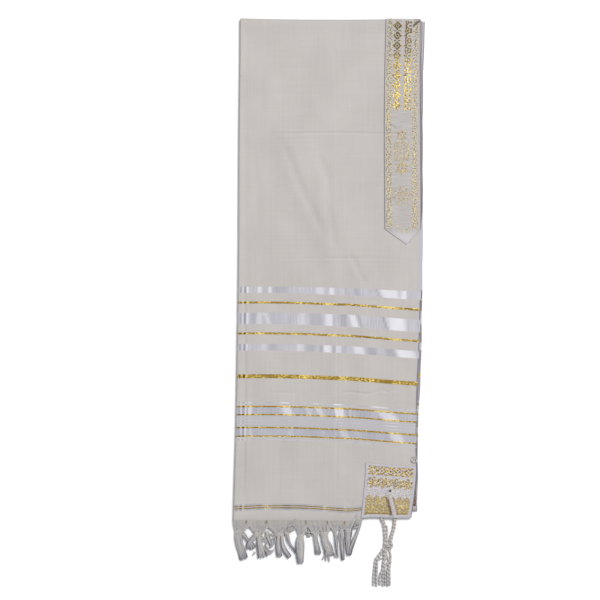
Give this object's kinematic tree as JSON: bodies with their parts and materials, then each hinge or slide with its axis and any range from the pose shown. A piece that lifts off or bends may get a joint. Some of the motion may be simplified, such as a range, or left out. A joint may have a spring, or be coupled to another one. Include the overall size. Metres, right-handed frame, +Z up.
{
  "type": "tallit prayer shawl",
  "caption": "Woven prayer shawl folded into four layers and laid flat, with a neckband, a corner patch, knotted fringe and a corner tassel.",
  "frame": {"origin": "middle of the box's underside, on the surface that the folded shawl lies on", "axes": "+Z up from the surface, +Y from the fringed hem to the fold at the top, +X to the right with the outer face up"},
  "size_m": [0.3286, 0.977, 0.0096],
  "materials": {
    "cloth": "matt plain-woven cloth with satin and metallic stripes",
    "under_layers": "matt plain-woven cloth",
    "brocade": "satin band with metallic thread",
    "patch_satin": "satin patch with metallic thread",
    "fringe_yarn": "soft plied yarn",
    "cord_yarn": "soft twisted cord"
  },
  "bodies": {
    "root": {"front_panel": "cloth", "folded_layers": "under_layers", "neckband": "brocade", "corner_patch": "patch_satin", "corner_patch_under": "patch_satin", "fringe_front": "fringe_yarn", "fringe_under": "fringe_yarn", "tzitzit": "cord_yarn"}
  },
  "joints": []
}
